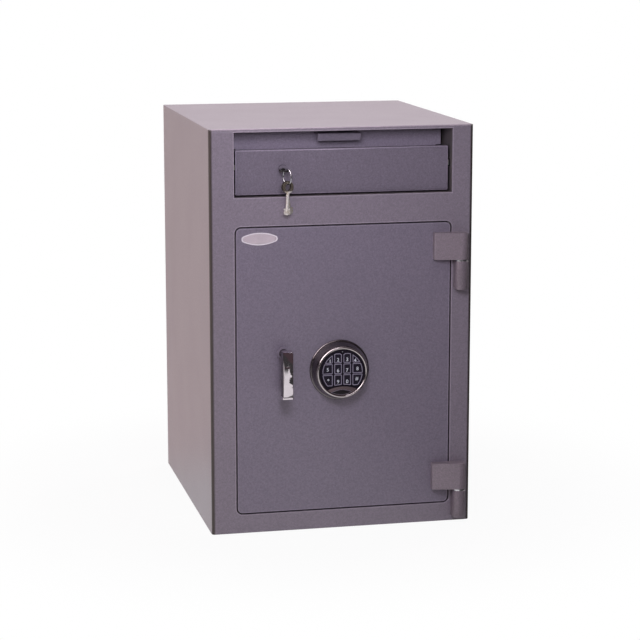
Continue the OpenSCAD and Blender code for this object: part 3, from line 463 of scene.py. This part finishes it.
class SAFE_OT_paint(bpy.types.Operator):
    """Paints the case, the door and the drawer"""
    bl_idname = "safe.paint"
    bl_label = "Paint"

    def execute(self, context):
        p = context.scene.safe_paint
        lo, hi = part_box("right_wall")
        case = hammered_paint("case_paint", p.case_colour, p.fleck, fold=(hi[0], lo[1], FOLD_R))
        door = hammered_paint("door_paint", p.door_colour, p.fleck)
        drawer = hammered_paint("drawer_paint", p.drawer_colour, p.fleck)
        coat(case, "left_wall", "right_wall", "top_sheet", "back_plate", "front_rails")
        hinge = hammered_paint("hinge_paint", p.hinge_colour, p.fleck)
        softened("hinge_leaves", "door", hinge)
        post = hammered_paint("post_paint", scaled(p.hinge_colour, 0.84), p.fleck)
        softened("hinge_posts", "case", post)
        coat(door, "door_plate")
        softened("drawer_front", "drawer", drawer)
        # Painted light: the riser's paint is the drawer's made 1.6 times lighter, to lift the shade the opening
        # casts on it
        riser = hammered_paint("riser_painted_light", scaled(p.drawer_colour, 1.6), p.fleck)
        softened("drawer_riser", "drawer", riser)
        softened("finger_pull", "drawer", drawer)
        # Painted highlight: the edge rolls take the case, door and drawer colours made 1.35 to 1.75 times lighter
        self.rolls(hammered_paint("case_edge_highlight", scaled(p.case_colour, 1.5), p.fleck),
                   hammered_paint("door_edge_highlight", scaled(p.door_colour, 1.35), p.fleck),
                   hammered_paint("drawer_edge_highlight", scaled(p.drawer_colour, 1.75), p.fleck))
        inner = matt_primer("inner_paint", p.inner_colour)
        coat(inner, "floor_plate", "door_jamb", "housing_sides", "housing_shelf", "anti_fishing_baffle",
             "bolt_box", "door_back_cover", "drawer_tray", "tipping_floor")
        return {"FINISHED"}

    def rolls(self, case, door, drawer):
        """Rounded edges round the door, its opening, the drawer and its opening, in a lighter paint that is a
        painted highlight along them."""
        lo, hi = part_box("door_plate")
        edge = rounded_loop(lo[0], hi[0], lo[2], hi[2], DOOR_CORNER)
        self.roll("door_edge_roll", edge, 1, lo[1], door, "door", "door_paint")
        edge = rounded_loop(lo[0] - DOOR_GAP, hi[0] + DOOR_GAP, lo[2] - DOOR_GAP, hi[2] + DOOR_GAP,
                            DOOR_CORNER + DOOR_GAP)
        self.roll("door_opening_roll", edge, -1, lo[1], case, "case", "case_paint")
        lo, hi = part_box("front_rails")
        open_top = min(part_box("drawer_riser")[1][2] + RISER_GAP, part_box("right_wall")[1][2])
        edge = rounded_loop(lo[0], hi[0], hi[2], open_top, RAIL_CORNER, 3)
        self.roll("drawer_opening_roll", edge, -1, lo[1], case, "case", "case_paint")
        lo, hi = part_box("drawer_front")
        edge = rounded_loop(lo[0], hi[0], lo[2], hi[2], DRAWER_ROLL_R, 4)
        self.roll("drawer_edge_roll", edge, 1, lo[1], drawer, "drawer", "drawer_paint", r=DRAWER_ROLL_R)

    def roll(self, name, path, side, y, material, body, slot, **sizes):
        placed(name, edge_roll(name, path, side, y, **sizes), material, body)


class SAFE_OT_metals(bpy.types.Operator):
    """Finishes the bolts, pins, plated pressings, lock and keys"""
    bl_idname = "safe.metals"
    bl_label = "Metals"

    def execute(self, context):
        m = context.scene.safe_metals
        coat(polished("ring_chrome", (0.50, 0.45, 0.46), 0.17), "keypad_ring")
        lo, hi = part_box("lever_handle")
        half_w, depth, lip_h, foot_h = 0.0093, 0.026, 0.0045, 0.0062
        chrome = lever_chrome("chrome", m.chrome, context.scene.safe_paint.door_colour, (lo[0] + hi[0]) / 2,
                              half_w, lo[2] + lip_h, lo[1] + depth, hi[1] - foot_h)
        softened("lever_handle", "handle", chrome)
        softened("oval_boss", "door", polished("smoked_chrome", (0.16, 0.118, 0.132), 0.2))
        coat(turned_steel("steel_along_x", m.steel, "x"), "dog_bolts", "locking_bolts", "floor_pin")
        coat(turned_steel("steel_along_y", m.steel, "y"), "handle_spindle")
        coat(turned_steel("steel_along_z", m.steel, "z"), "hinge_pins", "hinge_washers", "drawer_bolt")
        coat(zinc_plate("dark_zinc", scaled(m.zinc, 0.1)), "runner_channels")
        coat(cast_metal("plug_face", (0.20, 0.172, 0.21), 0.15), "lock_plug")
        coat(zinc_plate("zinc", m.zinc), "tipping_ramps", "guide_posts", "cover_screws",
             "bolt_carriage", "drawer_rails", "drawer_lock_case")
        coat(cast_metal("bronze", (0.50, 0.34, 0.17)), "bolt_bushes")
        coat(cast_metal("brass", (0.60, 0.45, 0.18)), "lock_bolt")
        coat(cast_metal("die_cast", (0.42, 0.42, 0.43), 0.8), "lock_case")
        lo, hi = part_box("spare_key_1")
        bow_z = hi[2] - BOW_SHARE * (hi[2] - lo[2])
        coat(key_plating("key_metal", m.key_metal, (0.58, 0.49, 0.36), 0.3, bow_z), "spare_key_1")
        coat(key_plating("worn_key", scaled(m.key_metal, 0.5), (0.30, 0.25, 0.18), 0.3, bow_z), "spare_key_2")
        coat(key_plating("dark_key", scaled(m.key_metal, 0.07), (0.03, 0.025, 0.02)), "drawer_key")
        coat(polished("ring_wire", scaled(m.steel, 1.05), 0.14), "key_ring")
        return {"FINISHED"}


PAD_KEYS = {
    "key_1": "1", "key_2": "2", "key_3": "3", "key_4": "4", "key_5": "5", "key_6": "6",
    "key_7": "7", "key_8": "8", "key_star": "*", "key_9": "9", "key_0": "0", "key_hash": "#",
}

# The built-in face, in its own units: the height of its numbers, half their thickness, what is added all round
# their strokes, and how near two points are one
FONT_HEIGHT, FONT_HALF_DEPTH, FONT_SWELL, FONT_GAP = 0.70, 0.004, 0.015, 1e-5


class KeyOutlines:
    """The keys' outlines in the keypad's own plane, from the frame: each is a rounded rectangle inside a
    circle, cut by the rim of the boss below and by a small circle round the signal lamp."""

    def __init__(self):
        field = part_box("key_field")
        self.x = (field[0][0] + field[1][0]) / 2
        self.z = (field[0][2] + field[1][2]) / 2
        self.circle_r = self.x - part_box("key_5")[0][0]
        self.eye_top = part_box("oval_boss")[1][2] - self.z
        self.eye_r, self.eye_gap = 0.068, 0.003
        self.lamp_rise, self.lamp_clear = 0.039, 0.005
        self.corner_r = 0.002

    def inside(self, name, x, z):
        """How far (x, z) is from the key's edge, negative within it: the largest of the four distances."""
        lo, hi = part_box(name)
        mid = (lo[0] + hi[0]) / 2 - self.x, (lo[2] + hi[2]) / 2 - self.z
        half = (hi[0] - lo[0]) / 2, (hi[2] - lo[2]) / 2
        qx = np.abs(x - mid[0]) - half[0] + self.corner_r
        qz = np.abs(z - mid[1]) - half[1] + self.corner_r
        box = (np.hypot(np.maximum(qx, 0), np.maximum(qz, 0)) + np.minimum(np.maximum(qx, qz), 0)
               - self.corner_r)
        eye = self.eye_r + self.eye_gap - np.hypot(x, z - (self.eye_top - self.eye_r))
        lamp = self.lamp_clear - np.hypot(x, z - self.lamp_rise)
        return np.maximum.reduce([box, np.hypot(x, z) - self.circle_r, eye, lamp])

    def heart(self, name):
        """The point of the key farthest from its edge, found on a fine grid."""
        lo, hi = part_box(name)
        x, z = np.meshgrid(np.linspace(lo[0], hi[0], 61) - self.x, np.linspace(lo[2], hi[2], 61) - self.z)
        best = np.argmin(self.inside(name, x, z))
        return x.flat[best], z.flat[best]

    def loops(self, name, insets, rays=160):
        """Closed loops at the given insets from the edge, met by rays from the heart and found by halving."""
        reach, halvings = 0.03, 26
        hx, hz = self.heart(name)
        turn = round_turn(rays)
        near = np.zeros((len(insets), rays))
        far = near + reach
        level = -np.asarray(insets)[:, None]
        for _ in range(halvings):
            mid = (near + far) / 2
            out = self.inside(name, hx + mid * np.cos(turn), hz + mid * np.sin(turn)) > level
            near, far = np.where(out, near, mid), np.where(out, mid, far)
        return np.stack([self.x + hx + near * np.cos(turn), self.z + hz + near * np.sin(turn)], -1)


def lifted(loops, depths):
    """Loops of (x, z) set at their depths along Y, as a grid of points."""
    depth = np.broadcast_to(np.asarray(depths)[:, None], loops.shape[:2])
    return np.stack([loops[..., 0], depth, loops[..., 1]], -1)


class SAFE_OT_keypad(bpy.types.Operator):
    """Finishes the keypad: housing, key field, keys, outlines, digits and signal lamp"""
    bl_idname = "safe.keypad"
    bl_label = "Keypad"

    def execute(self, context):
        k = context.scene.safe_keypad
        coat(moulded("keypad_shell", (0.12, 0.102, 0.11), 0.24, metal=0.9, coat=0.4), "keypad_housing")
        coat(moulded("key_film", (0.010, 0.007, 0.013), 0.45, gloss=0.15), "key_field")
        keys = moulded("pad_keys", (0.012, 0.009, 0.017), 0.42, gloss=0.2)
        ink, digit_ink = printed("outline_ink", k.ink), printed("digit_ink", k.digit_ink)
        outlines = KeyOutlines()
        for node, mark in PAD_KEYS.items():
            self.key(outlines, node, keys)
            self.outline(outlines, node, ink, k.line_width)
            self.digit(outlines, node, mark, digit_ink, k.digit_height)
        self.lamp(outlines, printed("lamp_lens", k.lamp))
        self.blank("eye_rim", outlines, printed("eye_ink", scaled(k.ink, 0.8)), share=1.0, sunk=0.0008)
        enamel = moulded("blank_enamel", (0.012, 0.009, 0.011), 0.4, gloss=0.2)
        self.blank("eye_blank", outlines, enamel, share=0.9, sunk=0.0006)
        self.oval()
        return {"FINISHED"}

    def key(self, outlines, node, material):
        """Cap: loops from the skirt over a rounded shoulder to a slightly crowned top, closed at the heart."""
        lo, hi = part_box(node)
        insets = np.array([0.0, 0.0, 0.00012, 0.0004, 0.0008, 0.0016, 0.0028])
        drops = np.array([0.0022, 0.0008, 0.00035, 0.00012, 0.00006, 0.00002, 0.0])
        loops = outlines.loops(node, insets)
        hx, hz = outlines.heart(node)
        pole = np.broadcast_to([outlines.x + hx, outlines.z + hz], loops[:1].shape)
        grid = lifted(np.concatenate([pole, loops, pole]), lo[1] + np.concatenate([[hi[1] - lo[1]], drops, [0.0]]))
        placed(node + "_cap", merged(surface(node + "_cap", grid, wrap_v=True)), material,
               "pad_" + node, (node,))

    def outline(self, outlines, node, material, width):
        """Printed line between two insets of the key's edge: a band carried round, its face proud of the cap
        and its back sunk in it."""
        inset, sunk, proud = 0.0003, 0.0002, 0.00006
        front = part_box(node)[0][1]
        loops = outlines.loops(node, [inset, inset, inset + width, inset + width])
        grid = lifted(loops, front + np.array([sunk, -proud, -proud, sunk]))
        placed(node + "_outline", merged(surface(node + "_outline", grid, wrap_u=True, wrap_v=True)), material,
               "pad_" + node)

    def digit(self, outlines, node, mark, material, height):
        """A plain number from the built-in face, made a mesh, closed in the face's own units and stood on
        the key's top."""
        proud, drop = 0.00003, 0.0008
        curve = bpy.data.curves.new(node + "_digit", "FONT")
        curve.body, curve.extrude, curve.offset = mark, FONT_HALF_DEPTH, FONT_SWELL
        curve.resolution_u = 6
        shape = linked(node + "_shape", curve)
        mesh = bpy.data.meshes.new_from_object(shape.evaluated_get(bpy.context.evaluated_depsgraph_get()))
        bpy.data.objects.remove(shape)
        merged(mesh, FONT_GAP)
        co = np.empty(len(mesh.vertices) * 3)
        mesh.vertices.foreach_get("co", co)
        co = co.reshape(-1, 3)
        middle = (co.min(0) + co.max(0)) / 2
        flat = (co - middle) * (height / FONT_HEIGHT)
        hx, hz = outlines.heart(node)
        co = np.stack([outlines.x + hx + flat[:, 0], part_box(node)[0][1] - proud - flat[:, 2],
                       outlines.z + hz - drop + flat[:, 1]], -1)
        mesh.vertices.foreach_set("co", co.ravel())
        mesh.update()
        placed(node + "_digit", mesh, material, "pad_" + node)

    def lamp(self, outlines, material):
        """Signal lamp: a dome whose height falls as the square of the radius."""
        r, rise, sunk = 0.0011, 0.0007, 0.0003
        rho = np.linspace(0.0, 1.0, 9)[:, None]
        turn = round_turn(24)
        x = outlines.x + r * rho * np.cos(turn)
        z = outlines.z + outlines.lamp_rise + r * rho * np.sin(turn)
        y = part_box("key_field")[0][1] - rise * (1 - rho ** 2) + sunk + 0 * turn
        thickened(placed("signal_lamp", merged(surface("signal_lamp", np.stack([x, y, z], -1), wrap_v=True)),
                         material, "door"))

    def blank(self, name, outlines, material, share, sunk):
        """Blank lens in the boss: two arcs meet at its ends, and its crown falls off towards the edge with the
        fourth power. A smaller share draws its height in, and its width less."""
        half_w, half_h, crown = 0.0197 * (0.4 + 0.6 * share), 0.0048 * share, 0.0007
        left, below = 0.002, 0.0374
        arc_r = (half_w ** 2 + half_h ** 2) / (2 * half_h)
        u, v = np.meshgrid(np.linspace(-1, 1, 61), np.linspace(-1, 1, 21), indexing="ij")
        x = u * half_w
        z = v * (np.sqrt(arc_r ** 2 - x ** 2) - (arc_r - half_h))
        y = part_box("oval_boss")[0][1] + sunk - crown * (1 - u ** 4) * (1 - v ** 4)
        grid = np.stack([outlines.x - left + x, y, outlines.z - below + z], -1)
        thickened(placed(name, merged(surface(name, grid)), material, "door"))

    def oval(self):
        """Enamelled oval on the door: the plate's bare rim round a blank, whose outline is an oval a little
        fuller than an ellipse and whose crown falls off with the fourth power of the radius."""
        rim_w, crown, power = 0.0026, 0.0005, 0.92
        rim = moulded("oval_rim", (0.80, 0.74, 0.76), 0.25, coat=0.5)
        enamel = moulded("oval_enamel", (0.56, 0.48, 0.50), 0.28, coat=0.5)
        softened("door_oval", "door", rim, segments=2)
        lo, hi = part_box("door_oval")
        half = np.array([hi[0] - lo[0], hi[2] - lo[2]]) / 2 - rim_w
        turn = round_turn(96)
        rho = np.linspace(0.0, 1.0, 13)[:, None]
        x = (lo[0] + hi[0]) / 2 + half[0] * rho * np.sign(np.cos(turn)) * np.abs(np.cos(turn)) ** power
        z = (lo[2] + hi[2]) / 2 + half[1] * rho * np.sign(np.sin(turn)) * np.abs(np.sin(turn)) ** power
        y = lo[1] + crown - crown * (1 - rho ** 4) + 0 * turn
        thickened(placed("oval_blank", merged(surface("oval_blank", np.stack([x, y, z], -1), wrap_v=True)),
                         enamel, "door"))


# Studio: each lamp's name, place, side, watts and tint, then the camera as it was fitted to the photograph

LAMPS = (
    ("key_lamp", (-0.25, -1.15, 0.98), 0.3, 5.5, (0.88, 0.86, 1.0)),
    ("left_lamp", (-0.72, -0.80, 1.0), 0.35, 0.8, (1.0, 0.90, 0.92)),
    ("front_lamp", (0.05, -2.4, 1.25), 0.5, 2.6, (0.93, 0.92, 1.0)),
    ("edge_lamp", (-0.1, -1.9, 2.6), 0.5, 3.6, (0.97, 0.95, 1.0)),
    ("side_lamp", (-2.6, 0.3, 1.5), 1.4, 18.0, (1.0, 0.70, 0.68)),
    ("right_lamp", (2.3, 1.7, 1.4), 1.2, 23.0, (0.98, 0.96, 0.96)),
    ("top_lamp", (0.2, 1.0, 2.6), 1.0, 18.0, (1.0, 0.84, 0.96)),
)
LAMP_AIM = (0.0, 0.0, 0.36)
CAMERA_AT = (-0.88286, -4.00974, 1.12334)
CAMERA_TURN, CAMERA_DIP = math.radians(12.673), math.radians(10.678)
SENSOR_MM, FOCAL_PX, PICTURE_PX = 36.0, 2094.2, 640.0
FLOOR_REACH, FLOOR_DROP = 30.0, 0.0005
WHITE = (1.0, 1.0, 1.0)


def place_in_scene(data, name, where, aim):
    obj = linked(name, data)
    obj.location = where
    obj.rotation_euler = (Vector(aim) - Vector(where)).to_track_quat("-Z", "Y").to_euler()
    return obj


class SAFE_OT_studio(bpy.types.Operator):
    """Lays the pale floor, hangs the lamps and stands the camera"""
    bl_idname = "safe.studio"
    bl_label = "Studio"

    def execute(self, context):
        settings = context.scene.safe_studio
        side = np.array([-FLOOR_REACH, FLOOR_REACH])
        grid = np.stack([*np.meshgrid(side, side, indexing="ij"), np.zeros((2, 2))], -1)
        floor = linked("studio_floor", merged(surface("studio_floor", grid, smooth=False)))
        floor.location.z = -FLOOR_DROP
        floor.data.materials.append(self.floor_material())
        for name, where, size, watts, tint in LAMPS:
            lamp = bpy.data.lights.new(name, "AREA")
            lamp.shape, lamp.size, lamp.energy, lamp.color = "SQUARE", size, watts * settings.level, tint
            hung = place_in_scene(lamp, name, where, LAMP_AIM)
            hung.visible_camera, hung.visible_glossy = False, name != "key_lamp"
        context.scene.world = self.sky(settings.ambient)
        camera = bpy.data.cameras.new("camera")
        camera.sensor_width, camera.lens = SENSOR_MM, SENSOR_MM * FOCAL_PX / PICTURE_PX
        camera.clip_start, camera.clip_end = 0.1, 100.0
        look = Vector((math.sin(CAMERA_TURN) * math.cos(CAMERA_DIP), math.cos(CAMERA_TURN) * math.cos(CAMERA_DIP),
                       -math.sin(CAMERA_DIP)))
        context.scene.camera = place_in_scene(camera, "camera", CAMERA_AT, Vector(CAMERA_AT) + look)
        context.scene.view_settings.view_transform = "Standard"
        return {"FINISHED"}

    def floor_material(self):
        """White to the eye. Metal and gloss see it dim in front, to the right and along a narrow strip, and
        warm behind. The light that falls on the object comes from its pale paint alone."""
        s = new_shade("studio_floor")
        mirrored = s.mirrored()
        x, y, _ = s.axes()
        dim = ((y * -1.0).span(1.8, 2.3) * 0.85 + x.span(0.12, 0.34) * 0.8 + 0.15).least(0.95)
        strip = ((x + y * 0.225 + 0.187).size() * -1.0).span(-0.18, -0.11) * y.span(-4.3, -3.7)
        dim = dim * (1.0 - strip) + strip * 0.12
        pale = s.add("ShaderNodeBsdfDiffuse", Color=(0.86, 0.86, 0.86))
        tint = s.blend(mirrored * y.span(0.0, 0.5), WHITE, (0.95, 0.82, 0.79))
        white = s.add("ShaderNodeEmission", Color=tint, Strength=1.0 - mirrored * dim)
        away = s.add("ShaderNodeVectorMath", {"operation": "LENGTH"}, [s.place], out="Value")
        share = s.ray("Camera").most(mirrored) * (0.94 + away.span(0.4, 0.9) * 0.06)
        return s.end(s.add("ShaderNodeMixShader", {}, [share, pale, white]))

    def sky(self, strength):
        """White to the eye and an even dim light. Metal and gloss see it dark in front, bright behind and in
        a softbox above to the left, with a fainter one overhead."""
        s = Shade(bpy.data.worlds.new("studio"), "Generated")
        x, y, z = s.axes()
        behind = y.span(-0.35, 0.25) * (1.0 - x.span(0.35, 0.85) * 0.75)
        softbox = (x * -0.67 + y * -0.2 + z * 0.72).span(0.78, 0.92).most(z.span(0.955, 0.985) * 0.7)
        seen = s.blend(behind.most(softbox), (0.075, 0.052, 0.058), (1.0, 0.93, 0.95))
        even = s.add("ShaderNodeBackground", Color=(0.95, 0.95, 1.0), Strength=strength)
        glossy = s.add("ShaderNodeBackground", Color=seen, Strength=1.0 + softbox * 4.0)
        plain = s.add("ShaderNodeBackground", Color=WHITE, Strength=1.0)
        mix = s.add("ShaderNodeMixShader", {}, [s.mirrored(), even, glossy])
        mix = s.add("ShaderNodeMixShader", {}, [s.ray("Camera"), mix, plain])
        return s.end(mix, "ShaderNodeOutputWorld")


class SAFE_PT_panel(bpy.types.Panel):
    bl_label = "Deposit safe"
    bl_idname = "SAFE_PT_panel"
    bl_space_type = "VIEW_3D"
    bl_region_type = "UI"
    bl_category = "Safe"

    def draw(self, context):
        for group in GROUPS:
            box = self.layout.box()
            settings = getattr(context.scene, group)
            for name in settings.__annotations__:
                box.prop(settings, name)
        for operator in OPERATORS:
            self.layout.operator(operator.bl_idname)


GROUPS = {"safe_paint": SafePaint, "safe_metals": SafeMetals, "safe_keypad": SafeKeypad,
          "safe_studio": SafeStudio}
OPERATORS = (SAFE_OT_studio, SAFE_OT_paint, SAFE_OT_metals, SAFE_OT_keypad)


def register():
    for cls in (*GROUPS.values(), *OPERATORS, SAFE_PT_panel):
        bpy.utils.register_class(cls)
    for name, cls in GROUPS.items():
        setattr(bpy.types.Scene, name, bpy.props.PointerProperty(type=cls))


def unregister():
    for name in GROUPS:
        delattr(bpy.types.Scene, name)
    for cls in reversed((*GROUPS.values(), *OPERATORS, SAFE_PT_panel)):
        bpy.utils.unregister_class(cls)


def main():
    register()
    for operator in OPERATORS:
        group, name = operator.bl_idname.split(".")
        getattr(getattr(bpy.ops, group), name)()


if __name__ == "__main__":
    main()
